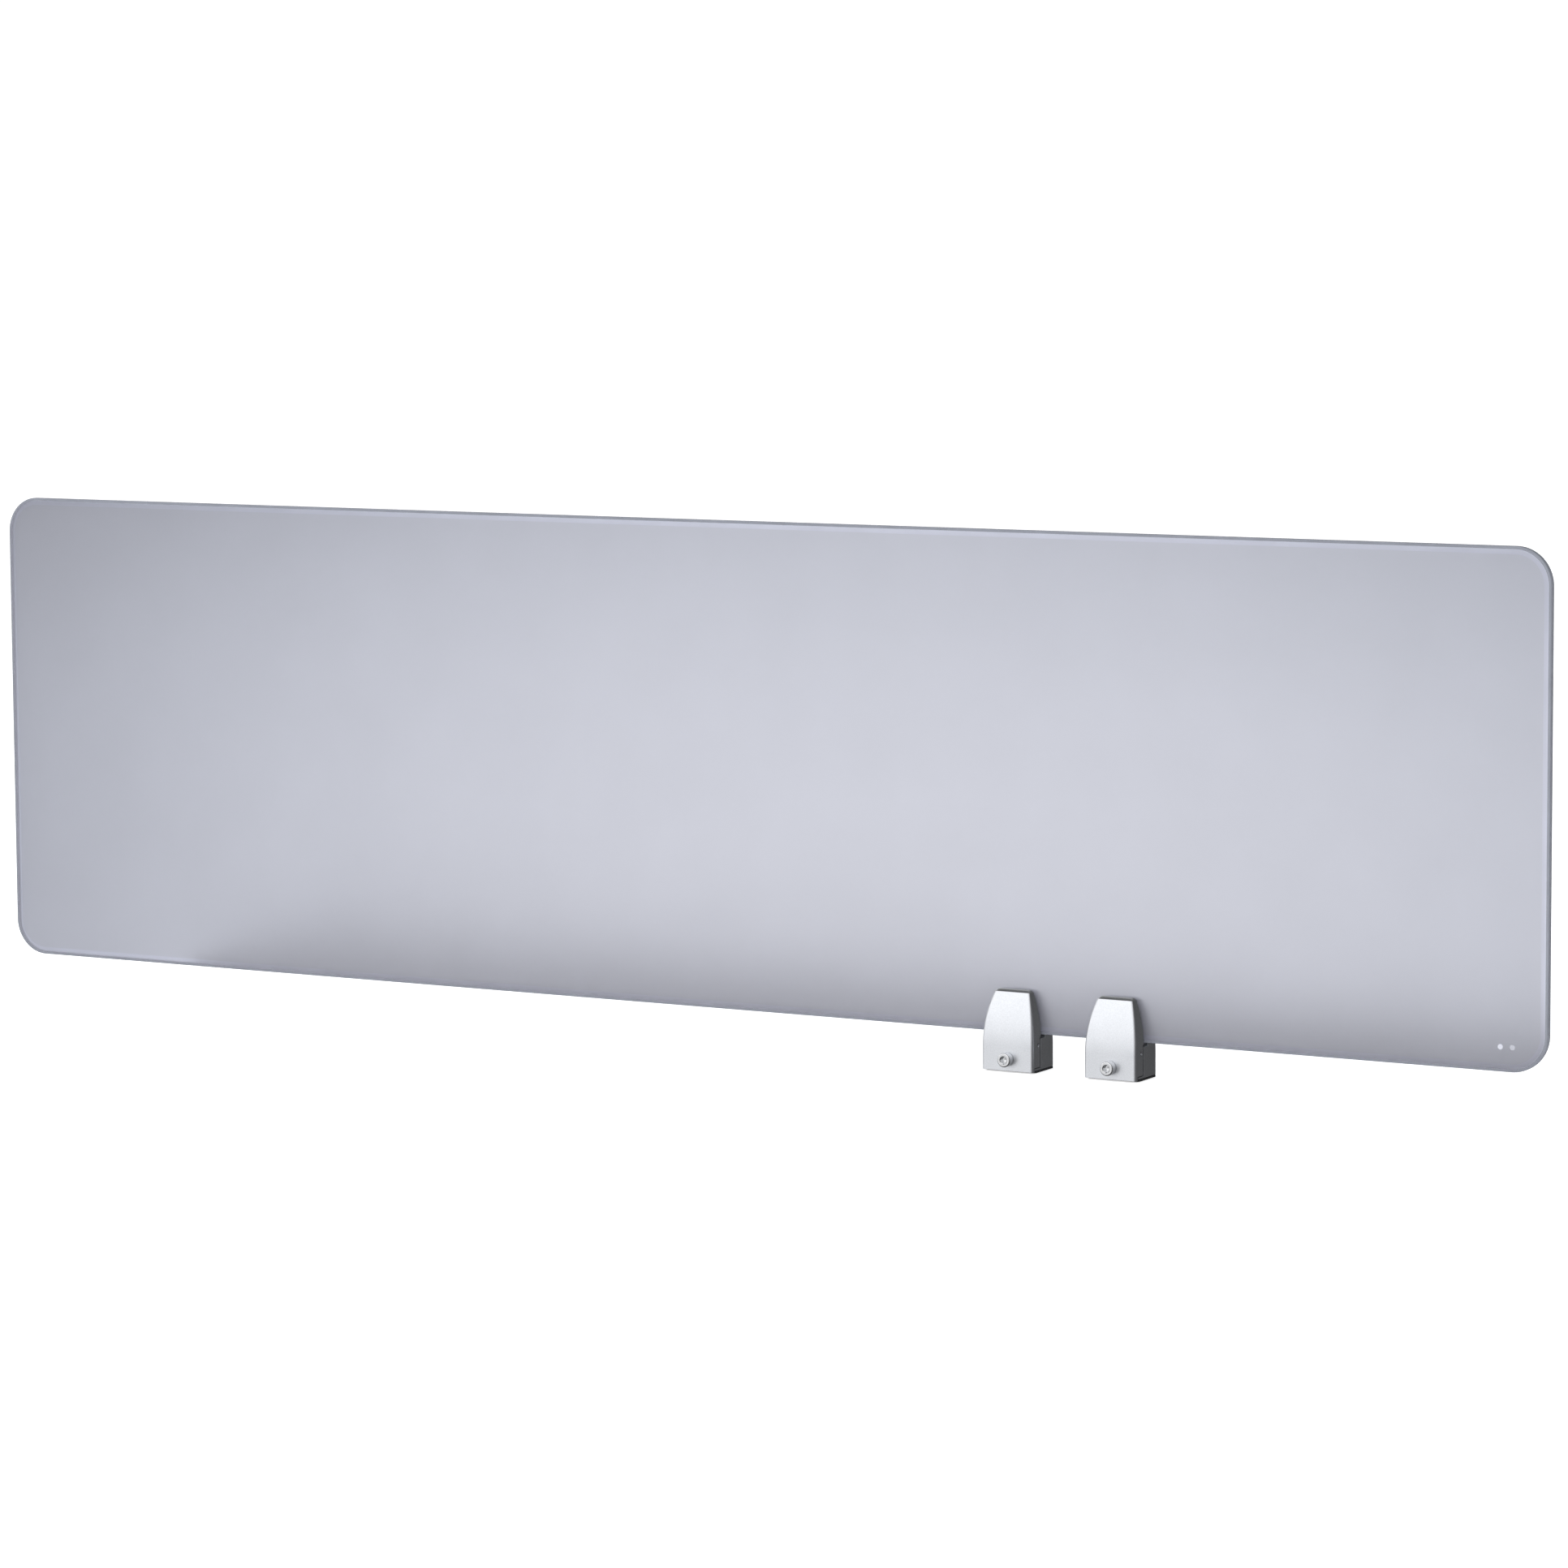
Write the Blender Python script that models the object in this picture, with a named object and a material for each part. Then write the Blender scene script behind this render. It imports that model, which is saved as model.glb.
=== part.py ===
"""Desk privacy panel: a frosted acrylic sheet held by two pinch-lever desk clamps.

Metres, +Z up. The origin is on the desk surface, under the middle of the sheet.
+X runs along the sheet, to the right as seen from the front. -Y faces the front,
where the clamp screws are.

Each clamp is a cast body, which is the base and the rear jaw in one, and a front jaw
that rocks on a pivot pin just below the sheet. The clamp screw is threaded through the
foot of the front jaw and pushes against the body through a shoe and a hardened seat.
Turning it in drives the foot forwards and so presses the top of the jaw on the sheet.
"""

import math

import bmesh
import bpy
from mathutils import Matrix, Vector

GAP = 0.0003                    # between pieces that touch on the real object
AXIS_X = Vector((1, 0, 0))
AXIS_Y = Vector((0, 1, 0))
AXIS_Z = Vector((0, 0, 1))

# Sheet
SHEET_LENGTH = 1.650
SHEET_HEIGHT = 0.4572
SHEET_THICKNESS = 0.006
SHEET_CORNER_RADIUS = 0.034
SHEET_EDGE_ROUND = 0.0006
SHEET_LIFT = 0.034              # lower edge above the desk
SHEET_FACE = SHEET_THICKNESS / 2

# Where the two clamps stand along the sheet
CLAMP_PLACES = {"left": 0.307, "right": 0.411}

# Outer form of a clamp
CLAMP_HALF_WIDTH = 0.026
CLAMP_HALF_DEPTH = 0.021
CLAMP_HEIGHT = 0.074
TAPER_START = 0.024             # the outside is upright below this height
SIDE_TAPER_RADIUS = 0.150       # above it the sides lean in along an arc of this radius,
FACE_TAPER_RADIUS = 0.128       # and the front and back along an arc of this one
EDGE_RADIUS = 0.0028
TOP_CHAMFER = 0.0018
FOOT_CLEARANCE = 0.0012         # front jaw above the desk

# Parting of a clamp into body and front jaw, seen from the side
BASE_PAD_THICKNESS = 0.002
BASE_FLANGE_TOP = 0.0042
BASE_FLANGE_FRONT = -0.0155
SKIRT_BACK = -0.0173            # the jaw's lip that hides the end of the base flange
FOOT_BOTTOM = 0.0049
FOOT_BACK = -0.0066
BLOCK_FRONT = -0.005
BLOCK_TOP = SHEET_LIFT - 0.0036
JAW_FACE = 0.004                # inner face of each jaw from the sheet's middle
JAW_STEP_LOW = 0.0318
JAW_STEP_HIGH = 0.0334

# Pivot of the front jaw
PIVOT = Vector((0, -0.0105, 0.025))
PIN_RADIUS = 0.002
PIN_HALF_LENGTH = 0.0254
LUG_RADIUS = 0.0042
LUG_HALF_WIDTH = 0.0078
POCKET_RADIUS = 0.0051
POCKET_HALF_WIDTH = 0.0084

# Rubber that touches the sheet
PAD_HALF_WIDTH = 0.0125
PAD_BOTTOM = 0.040
PAD_TOP = 0.068
PAD_THICKNESS = 0.002
REST_HALF_WIDTH = 0.020
REST_THICKNESS = 0.003

# Clamp screw, M8 x 1.25 with a socket head
SCREW_HEIGHT = 0.012
SCREW_RADIUS = 0.0039
SCREW_HEAD_RADIUS = 0.0065
SCREW_HEAD_FRONT = -0.0288
SCREW_HEAD_BACK = -0.0214
SCREW_SHOULDER = -0.0045
SCREW_TIP = -0.00275
SCREW_TIP_RADIUS = 0.0024
SCREW_CHAMFER = 0.0007
SOCKET_ACROSS_FLATS = 0.006
SOCKET_DEPTH = 0.0046
INSERT_RADIUS = 0.005
INSERT_FRONT = -0.0195
INSERT_BACK = -0.0072

# Shoe on the screw's tip, and the seat that it presses on
SHOE_RADIUS = 0.0046
SHOE_FRONT = -0.0042
SHOE_BACK = -0.0011
SHOE_CUP_RADIUS = 0.0028
SHOE_CUP_FLOOR = -0.0024
SEAT_RADIUS = 0.005
SEAT_FRONT = -0.0007
SEAT_BACK = 0.0007
RECESS_RADIUS = 0.0056

# Threaded inserts in the base for the desk bolts, M6
DESK_INSERT_X = 0.015
DESK_INSERT_Y = 0.009
DESK_INSERT_RADIUS = 0.0043
DESK_INSERT_BORE = 0.0025
DESK_INSERT_BOTTOM = 0.0023
DESK_INSERT_TOP = 0.0143
BOLT_CLEARANCE_RADIUS = 0.0036

ROUND_STEPS = 32
CORNER_STEPS = 10
TAPER_STEPS = 7


# ---------------------------------------------------------------- materials

def make_material(name, colour, roughness, metallic):
    material = bpy.data.materials.new(name)
    material.use_nodes = True
    shader = material.node_tree.nodes["Principled BSDF"]
    shader.inputs["Base Color"].default_value = (*colour, 1)
    shader.inputs["Roughness"].default_value = roughness
    shader.inputs["Metallic"].default_value = metallic
    material.diffuse_color = (*colour, 1)
    return material


def make_materials():
    return {
        "frosted_acrylic": make_material("frosted_acrylic", (0.62, 0.64, 0.69), 0.45, 0.0),
        "cast_body": make_material("cast_body", (0.78, 0.80, 0.83), 0.38, 0.9),
        "cast_jaw": make_material("cast_jaw", (0.80, 0.82, 0.85), 0.36, 0.9),
        "steel_screw": make_material("steel_screw", (0.72, 0.73, 0.75), 0.22, 1.0),
        "steel_pin": make_material("steel_pin", (0.62, 0.63, 0.65), 0.25, 1.0),
        "steel_shoe": make_material("steel_shoe", (0.55, 0.56, 0.58), 0.3, 1.0),
        "steel_seat": make_material("steel_seat", (0.45, 0.46, 0.48), 0.3, 1.0),
        "brass_insert": make_material("brass_insert", (0.78, 0.60, 0.28), 0.3, 1.0),
        "grip_rubber": make_material("grip_rubber", (0.10, 0.10, 0.11), 0.8, 0.0),
        "rest_rubber": make_material("rest_rubber", (0.13, 0.13, 0.14), 0.8, 0.0),
        "base_rubber": make_material("base_rubber", (0.03, 0.03, 0.035), 0.85, 0.0),
    }


# ---------------------------------------------------------------- mesh tools

def to_object(bm, name):
    """Turn a bmesh into an object, with its faces pointing out."""
    bmesh.ops.recalc_face_normals(bm, faces=bm.faces)
    mesh = bpy.data.meshes.new(name)
    bm.to_mesh(mesh)
    bm.free()
    piece = bpy.data.objects.new(name, mesh)
    bpy.context.collection.objects.link(piece)
    return piece


def box(low, high, name="box"):
    bm = bmesh.new()
    size = Vector(high) - Vector(low)
    centre = (Vector(high) + Vector(low)) / 2
    matrix = Matrix.Translation(centre) @ Matrix.Diagonal((*size, 1))
    bmesh.ops.create_cube(bm, size=1, matrix=matrix)
    return to_object(bm, name)


def prism(outline, low, high, axis, name="prism"):
    """Extrude a closed outline along an axis. Its points are the other two coordinates."""
    bm = bmesh.new()
    for level in (low, high):
        if axis == AXIS_X:
            ring = [bm.verts.new((level, u, v)) for u, v in outline]
        elif axis == AXIS_Y:
            ring = [bm.verts.new((u, level, v)) for u, v in outline]
        else:
            ring = [bm.verts.new((u, v, level)) for u, v in outline]
        bm.faces.new(ring)
    bmesh.ops.bridge_loops(bm, edges=bm.edges)
    return to_object(bm, name)


def turned(profile, axis, centre, name="turned"):
    """Turn a profile of (radius, distance along the axis) about an axis through centre."""
    bm = bmesh.new()
    side = AXIS_Z if axis != AXIS_Z else AXIS_X
    other = axis.cross(side)
    rings = []
    for radius, along in profile:
        ring = []
        for step in range(ROUND_STEPS):
            angle = 2 * math.pi * step / ROUND_STEPS
            spoke = side * math.cos(angle) + other * math.sin(angle)
            ring.append(bm.verts.new(centre + axis * along + spoke * radius))
        rings.append(ring)
    for ring, following in zip(rings, rings[1:]):
        for step in range(ROUND_STEPS):
            after = (step + 1) % ROUND_STEPS
            bm.faces.new((ring[step], ring[after], following[after], following[step]))
    if profile[0] == profile[-1]:
        bmesh.ops.remove_doubles(bm, verts=rings[0] + rings[-1], dist=1e-6)
    else:
        bm.faces.new(rings[0])
        bm.faces.new(rings[-1])
    return to_object(bm, name)


def rod(radius, low, high, axis, centre):
    return turned([(radius, low), (radius, high)], axis, centre, "rod")


def tube(outer, inner, low, high, axis, centre, name):
    profile = [(outer, low), (outer, high), (inner, high), (inner, low), (outer, low)]
    return turned(profile, axis, centre, name)


def combine(piece, tool, operation):
    """Boolean a tool object into a piece, and remove the tool."""
    modifier = piece.modifiers.new("combine", "BOOLEAN")
    modifier.operation = operation
    modifier.object = tool
    modifier.solver = "EXACT"
    scene_graph = bpy.context.evaluated_depsgraph_get()
    result = bpy.data.meshes.new_from_object(piece.evaluated_get(scene_graph))
    piece.modifiers.clear()
    piece.data = result
    bpy.data.objects.remove(tool)


def cut(piece, *tools):
    for tool in tools:
        combine(piece, tool, "DIFFERENCE")


def arc(centre, radius, start, end, steps):
    """Points on an arc, angles in degrees, both ends included."""
    points = []
    for step in range(steps + 1):
        angle = math.radians(start + (end - start) * step / steps)
        across = centre[0] + radius * math.cos(angle)
        up = centre[1] + radius * math.sin(angle)
        points.append((across, up))
    return points


def rounded_rectangle(left, bottom, right, top, radius, steps):
    corners = [
        ((right - radius, bottom + radius), -90),
        ((right - radius, top - radius), 0),
        ((left + radius, top - radius), 90),
        ((left + radius, bottom + radius), 180),
    ]
    points = []
    for centre, start in corners:
        points += arc(centre, radius, start, start + 90, steps)
    return points


# ---------------------------------------------------------------- sheet

def make_sheet():
    """The acrylic sheet: rounded corners, and arrises broken by a small round."""
    half = SHEET_LENGTH / 2
    bm = bmesh.new()
    rings = []
    levels = [
        (-SHEET_FACE, SHEET_EDGE_ROUND),
        (-SHEET_FACE + SHEET_EDGE_ROUND, 0),
        (SHEET_FACE - SHEET_EDGE_ROUND, 0),
        (SHEET_FACE, SHEET_EDGE_ROUND),
    ]
    for level, inset in levels:
        outline = rounded_rectangle(
            -half + inset, SHEET_LIFT + inset, half - inset, SHEET_LIFT + SHEET_HEIGHT - inset,
            SHEET_CORNER_RADIUS - inset, CORNER_STEPS)
        rings.append([bm.verts.new((u, level, v)) for u, v in outline])
    for ring, following in zip(rings, rings[1:]):
        count = len(ring)
        for step in range(count):
            after = (step + 1) % count
            bm.faces.new((ring[step], ring[after], following[after], following[step]))
    bm.faces.new(rings[0])
    bm.faces.new(rings[-1])
    return to_object(bm, "panel_sheet")


# ---------------------------------------------------------------- clamp castings

def taper(height, radius):
    """How far the outside of the clamp leans in at a height."""
    rise = max(0.0, height - TAPER_START)
    return radius - math.sqrt(radius ** 2 - rise ** 2)


def make_envelope():
    """The outer form of a whole clamp, lofted through level sections."""
    shoulder = CLAMP_HEIGHT - TOP_CHAMFER
    heights = [FOOT_CLEARANCE]
    for step in range(TAPER_STEPS + 1):
        heights.append(TAPER_START + (shoulder - TAPER_START) * step / TAPER_STEPS)
    sections = [(height, 0) for height in heights] + [(CLAMP_HEIGHT, TOP_CHAMFER)]
    bm = bmesh.new()
    rings = []
    for height, chamfer in sections:
        across = CLAMP_HALF_WIDTH - taper(height, SIDE_TAPER_RADIUS) - chamfer
        deep = CLAMP_HALF_DEPTH - taper(height, FACE_TAPER_RADIUS) - chamfer
        outline = rounded_rectangle(-across, -deep, across, deep, EDGE_RADIUS, 3)
        rings.append([bm.verts.new((u, v, height)) for u, v in outline])
    for ring, following in zip(rings, rings[1:]):
        count = len(ring)
        for step in range(count):
            after = (step + 1) % count
            bm.faces.new((ring[step], ring[after], following[after], following[step]))
    bm.faces.new(rings[0])
    bm.faces.new(rings[-1])
    return to_object(bm, "envelope")


def lug_outline(radius, back):
    """A round-ended outline about the pivot, open towards the back."""
    centre = (PIVOT.y, PIVOT.z)
    round_end = arc(centre, radius, 90, 270, 10)
    return round_end + [(back, PIVOT.z - radius), (back, PIVOT.z + radius)]


def pad_recess(side):
    """The pocket in a jaw's inner face that its grip pad sits in."""
    faces = sorted((side * 0.003, side * (SHEET_FACE + GAP + PAD_THICKNESS + GAP)))
    low = (-PAD_HALF_WIDTH - GAP, faces[0], PAD_BOTTOM - GAP)
    high = (PAD_HALF_WIDTH + GAP, faces[1], PAD_TOP + GAP)
    return box(low, high)


def make_clamp_body():
    """Base flange, block, pivot lug and rear jaw in one casting."""
    far = 2 * CLAMP_HEIGHT
    outline = [
        (BASE_FLANGE_FRONT, BASE_PAD_THICKNESS + GAP), (far, BASE_PAD_THICKNESS + GAP),
        (far, far), (JAW_FACE, far), (JAW_FACE, BLOCK_TOP), (BLOCK_FRONT, BLOCK_TOP),
        (BLOCK_FRONT, BASE_FLANGE_TOP), (BASE_FLANGE_FRONT, BASE_FLANGE_TOP),
    ]
    body = make_envelope()
    combine(body, prism(outline, -far, far, AXIS_X), "INTERSECT")
    lug = prism(lug_outline(LUG_RADIUS, 0), -LUG_HALF_WIDTH, LUG_HALF_WIDTH, AXIS_X)
    combine(body, lug, "UNION")
    screw_line = Vector((0, 0, SCREW_HEIGHT))
    cut(
        body,
        rod(PIN_RADIUS + GAP, -far, far, AXIS_X, PIVOT),
        rod(RECESS_RADIUS, BLOCK_FRONT - 0.001, SEAT_BACK + GAP, AXIS_Y, screw_line),
        pad_recess(1),
    )
    for x in (-DESK_INSERT_X, DESK_INSERT_X):
        hole_top = DESK_INSERT_TOP + GAP
        cut(body, rod(DESK_INSERT_RADIUS + GAP, 0, hole_top, AXIS_Z, Vector((x, DESK_INSERT_Y, 0))))
    return body


def make_front_jaw():
    """The front jaw: gripping face above the pivot, threaded foot below it."""
    far = 2 * CLAMP_HEIGHT
    outline = [
        (-far, 0), (SKIRT_BACK, 0), (SKIRT_BACK, FOOT_BOTTOM), (FOOT_BACK, FOOT_BOTTOM),
        (FOOT_BACK, JAW_STEP_LOW), (-JAW_FACE, JAW_STEP_HIGH), (-JAW_FACE, far), (-far, far),
    ]
    jaw = make_envelope()
    combine(jaw, prism(outline, -far, far, AXIS_X), "INTERSECT")
    screw_line = Vector((0, 0, SCREW_HEIGHT))
    pocket = lug_outline(POCKET_RADIUS, 0)
    cut(
        jaw,
        prism(pocket, -POCKET_HALF_WIDTH, POCKET_HALF_WIDTH, AXIS_X),
        rod(PIN_RADIUS + GAP, -far, far, AXIS_X, PIVOT),
        rod(INSERT_RADIUS + GAP, INSERT_FRONT - GAP, 0, AXIS_Y, screw_line),
        rod(SCREW_RADIUS + 2 * GAP, -far, 0, AXIS_Y, screw_line),
        pad_recess(-1),
    )
    return jaw


# ---------------------------------------------------------------- clamp small parts

def make_grip_pad(side, name):
    faces = sorted((side * (SHEET_FACE + GAP), side * (SHEET_FACE + GAP + PAD_THICKNESS)))
    low = (-PAD_HALF_WIDTH, faces[0], PAD_BOTTOM)
    high = (PAD_HALF_WIDTH, faces[1], PAD_TOP)
    return box(low, high, name)


def make_panel_rest():
    """The rubber block that the lower edge of the sheet stands on."""
    top = SHEET_LIFT - GAP
    low = (-REST_HALF_WIDTH, -SHEET_FACE, top - REST_THICKNESS)
    high = (REST_HALF_WIDTH, SHEET_FACE, top)
    return box(low, high, "panel_rest")


def make_base_pad():
    """The non-slip sheet under the body, with two holes for the desk bolts."""
    outline = rounded_rectangle(
        -CLAMP_HALF_WIDTH, BASE_FLANGE_FRONT, CLAMP_HALF_WIDTH, CLAMP_HALF_DEPTH, EDGE_RADIUS, 3)
    pad = prism(outline, 0, BASE_PAD_THICKNESS, AXIS_Z, "base_pad")
    for x in (-DESK_INSERT_X, DESK_INSERT_X):
        cut(pad, rod(BOLT_CLEARANCE_RADIUS, -1, 1, AXIS_Z, Vector((x, DESK_INSERT_Y, 0))))
    return pad


def make_clamp_screw():
    """Socket-head screw with a reduced tip that turns in the shoe."""
    head = SCREW_HEAD_RADIUS
    profile = [
        (head - SCREW_CHAMFER, SCREW_HEAD_FRONT), (head, SCREW_HEAD_FRONT + SCREW_CHAMFER),
        (head, SCREW_HEAD_BACK), (SCREW_RADIUS, SCREW_HEAD_BACK),
        (SCREW_RADIUS, SCREW_SHOULDER), (SCREW_TIP_RADIUS, SCREW_SHOULDER),
        (SCREW_TIP_RADIUS, SCREW_TIP),
    ]
    screw_line = Vector((0, 0, SCREW_HEIGHT))
    screw = turned(profile, AXIS_Y, screw_line, "clamp_screw")
    corner = SOCKET_ACROSS_FLATS / math.sqrt(3)
    hexagon = arc((0, SCREW_HEIGHT), corner, 0, 300, 5)
    socket_floor = SCREW_HEAD_FRONT + SOCKET_DEPTH
    cut(screw, prism(hexagon, SCREW_HEAD_FRONT - 0.001, socket_floor, AXIS_Y))
    return screw


def make_thrust_shoe():
    """A cup that does not turn: the screw's tip turns in it."""
    profile = [
        (SHOE_CUP_RADIUS, SHOE_CUP_FLOOR), (SHOE_CUP_RADIUS, SHOE_FRONT),
        (SHOE_RADIUS, SHOE_FRONT), (SHOE_RADIUS, SHOE_BACK),
    ]
    return turned(profile, AXIS_Y, Vector((0, 0, SCREW_HEIGHT)), "thrust_shoe")


def make_clamp_pieces():
    """Every piece of one clamp in its own place: object, material, joint frame."""
    screw_line = Vector((0, 0, SCREW_HEIGHT))
    seat = rod(SEAT_RADIUS, SEAT_FRONT, SEAT_BACK, AXIS_Y, screw_line)
    pin = rod(PIN_RADIUS, -PIN_HALF_LENGTH, PIN_HALF_LENGTH, AXIS_X, PIVOT)
    thread = tube(
        INSERT_RADIUS, SCREW_RADIUS + GAP, INSERT_FRONT, INSERT_BACK, AXIS_Y, screw_line,
        "thread_insert")
    pieces = {
        "clamp_body": (make_clamp_body(), "cast_body", "clamp"),
        "rear_grip_pad": (make_grip_pad(1, "rear_grip_pad"), "grip_rubber", "clamp"),
        "panel_rest": (make_panel_rest(), "rest_rubber", "clamp"),
        "thrust_seat": (seat, "steel_seat", "clamp"),
        "base_pad": (make_base_pad(), "base_rubber", "clamp"),
        "front_jaw": (make_front_jaw(), "cast_jaw", "jaw"),
        "front_grip_pad": (make_grip_pad(-1, "front_grip_pad"), "grip_rubber", "jaw"),
        "thread_insert": (thread, "brass_insert", "jaw"),
        "pivot_pin": (pin, "steel_pin", "jaw"),
        "thrust_shoe": (make_thrust_shoe(), "steel_shoe", "screw"),
        "clamp_screw": (make_clamp_screw(), "steel_screw", "screw"),
    }
    for number, x in ((1, -DESK_INSERT_X), (2, DESK_INSERT_X)):
        insert = tube(
            DESK_INSERT_RADIUS, DESK_INSERT_BORE, DESK_INSERT_BOTTOM, DESK_INSERT_TOP, AXIS_Z,
            Vector((x, DESK_INSERT_Y, 0)), "desk_insert")
        pieces[f"desk_insert_{number}"] = (insert, "brass_insert", "clamp")
    return pieces


# ---------------------------------------------------------------- assembly

ROUND_PIECES = {"pivot_pin", "clamp_screw", "thrust_shoe", "thrust_seat", "thread_insert"}


def finish_mesh(mesh, material, smooth):
    mesh.materials.clear()
    mesh.materials.append(material)
    if smooth:
        mesh.shade_smooth()
        mesh.set_sharp_from_angle(angle=math.radians(35))


def add_empty(name, location, parent=None):
    empty = bpy.data.objects.new(name, None)
    empty.empty_display_size = 0.02
    empty.location = location
    empty.parent = parent
    bpy.context.collection.objects.link(empty)
    return empty


def add_clamp(side, place, pieces):
    """Place one clamp. Pieces hang from empties on their own joint axes."""
    clamp = add_empty(f"{side}_clamp_frame", (place, 0, 0))
    jaw = add_empty(f"{side}_jaw_pivot_frame", PIVOT, clamp)
    screw_place = Vector((0, FOOT_BACK, SCREW_HEIGHT))
    screw = add_empty(f"{side}_screw_frame", screw_place - PIVOT, jaw)
    frames = {"clamp": (clamp, Vector((0, 0, 0))), "jaw": (jaw, PIVOT), "screw": (screw, screw_place)}
    for name, (mesh, frame) in pieces.items():
        parent, offset = frames[frame]
        piece = bpy.data.objects.new(f"{side}_{name}", mesh)
        piece.parent = parent
        piece.location = -offset
        bpy.context.collection.objects.link(piece)


def main():
    for old in list(bpy.data.objects):
        bpy.data.objects.remove(old)
    materials = make_materials()
    sheet = make_sheet()
    finish_mesh(sheet.data, materials["frosted_acrylic"], True)
    pieces = {}
    for name, (piece, material, frame) in make_clamp_pieces().items():
        finish_mesh(piece.data, materials[material], name in ROUND_PIECES or "insert" in name)
        pieces[name] = (piece.data, frame)
        bpy.data.objects.remove(piece)
    for side, place in CLAMP_PLACES.items():
        add_clamp(side, place, pieces)
    bpy.context.view_layer.update()


main()
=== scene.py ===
"""Looks of the desk privacy panel: frosted acrylic sheet, two satin cast clamps.

Metres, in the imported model's frame: +X along the sheet, -Y to the front, z = 0 the desk.
Every piece of a clamp is made once, round x = 0, and placed twice.
"""

import math

import bmesh
import bpy
from mathutils import Matrix, Vector


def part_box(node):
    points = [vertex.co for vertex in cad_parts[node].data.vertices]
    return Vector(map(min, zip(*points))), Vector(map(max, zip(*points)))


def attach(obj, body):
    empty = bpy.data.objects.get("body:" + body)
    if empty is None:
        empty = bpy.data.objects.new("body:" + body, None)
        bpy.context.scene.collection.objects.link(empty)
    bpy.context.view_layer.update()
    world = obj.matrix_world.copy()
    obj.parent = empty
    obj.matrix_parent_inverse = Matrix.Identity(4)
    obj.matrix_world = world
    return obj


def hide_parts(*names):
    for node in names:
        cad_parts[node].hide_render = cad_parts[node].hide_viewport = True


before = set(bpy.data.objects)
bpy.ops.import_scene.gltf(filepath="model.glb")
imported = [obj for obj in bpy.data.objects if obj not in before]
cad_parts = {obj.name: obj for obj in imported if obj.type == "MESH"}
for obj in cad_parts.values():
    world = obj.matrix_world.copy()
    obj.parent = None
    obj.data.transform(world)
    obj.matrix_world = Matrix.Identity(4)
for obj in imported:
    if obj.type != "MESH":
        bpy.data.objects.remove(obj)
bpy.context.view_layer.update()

AXIS_X = Vector((1, 0, 0))
AXIS_Y = Vector((0, 1, 0))
AXIS_Z = Vector((0, 0, 1))
MM = 0.001


def local_box(node):
    """A left clamp node's box, moved so that the clamp's middle is x = 0."""
    low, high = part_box("left_" + node)
    shift = Vector((CLAMP_X["left"], 0, 0))
    return low - shift, high - shift


def middle_x(node):
    low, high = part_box(node)
    return (low.x + high.x) / 2


# ------------------------------------------------------------ sizes, from the frame

CLAMP_X = {side: middle_x(f"{side}_clamp_body") for side in ("left", "right")}
SHEET_LOW, SHEET_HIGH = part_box("panel_sheet")
BODY_LOW, BODY_HIGH = local_box("clamp_body")
JAW_LOW = local_box("front_jaw")[0]
PIN_LOW, PIN_HIGH = local_box("pivot_pin")
SCREW_LOW, SCREW_HIGH = local_box("clamp_screw")

SHEET_CORNER = 34 * MM
SHEET_CORNER_STEPS = 24
SHEET_ARRIS = 1.1 * MM          # polished round along each edge
SHEET_POLISH = 2.6 * MM         # how far the polish reaches in over the face
SHEET_MARGIN = 7.0 * MM         # clear margin outside the frosting

HALF_WIDTH = BODY_HIGH.x
HALF_DEPTH = BODY_HIGH.y
TAPER_START = 24 * MM
SIDE_TAPER_RADIUS = 150 * MM
FACE_TAPER_RADIUS = 128 * MM
EDGE_RADIUS = 2.8 * MM
EDGE_STEPS = 6
TOP_CHAMFER = 1.8 * MM
SOFT_EDGE = 0.35 * MM
PAD_CLEARANCE = 0.3 * MM        # all round a grip pad in its recess

FLANGE_TOP = 4.2 * MM
FLANGE_FRONT = -15.5 * MM
SKIRT_BACK = -17.3 * MM
FOOT_BOTTOM = 4.9 * MM
FOOT_BACK = -6.6 * MM
BLOCK_FRONT = -5 * MM
BLOCK_TOP = 30.4 * MM
JAW_FACE = 4 * MM
STEP_LOW = 31.8 * MM
STEP_HIGH = 33.4 * MM

PIVOT = (PIN_LOW + PIN_HIGH) / 2
PIN_RADIUS = (PIN_HIGH.z - PIN_LOW.z) / 2
PIN_HOLE = PIN_RADIUS + 0.25 * MM
LUG_RADIUS = 4.2 * MM
LUG_HALF_WIDTH = 7.8 * MM
LUG_SOFT_EDGE = 0.3 * MM
POCKET_RADIUS = 5.1 * MM
POCKET_HALF_WIDTH = 8.4 * MM

SCREW_LINE = Vector((0, 0, (SCREW_LOW.z + SCREW_HIGH.z) / 2))
SCREW_RADIUS = 3.9 * MM
THREAD_DEPTH = 0.65 * MM
THREAD_PITCH = 1.25 * MM
SCREW_HEAD = (SCREW_HIGH.z - SCREW_LOW.z) / 2
SCREW_HEAD_BACK = -21.4 * MM
SCREW_SHOULDER = -4.5 * MM
SCREW_TIP_RADIUS = 2.4 * MM
SOCKET_FLATS = 6 * MM
SOCKET_DEPTH = 4.6 * MM
HEAD_KNURL_DEPTH = 0.14 * MM
HEAD_KNURLS = 36

SCREW_MOUTH = 4.5 * MM          # radius of the screw's hole in the jaw's front
THREAD_INSERT_HOLE = 5.3 * MM
THREAD_INSERT_FRONT = -19.8 * MM
THREAD_INSERT_BORE = 4.2 * MM
SHOE_CUP = 2.8 * MM
SHOE_CUP_FLOOR = -2.4 * MM
SHOE_BORE = 5.6 * MM
SHOE_BORE_FRONT = -20 * MM
SHOE_BORE_BACK = 1 * MM

ROUND_STEPS = 64                # sides of the pin, the shoe and the seat

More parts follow.
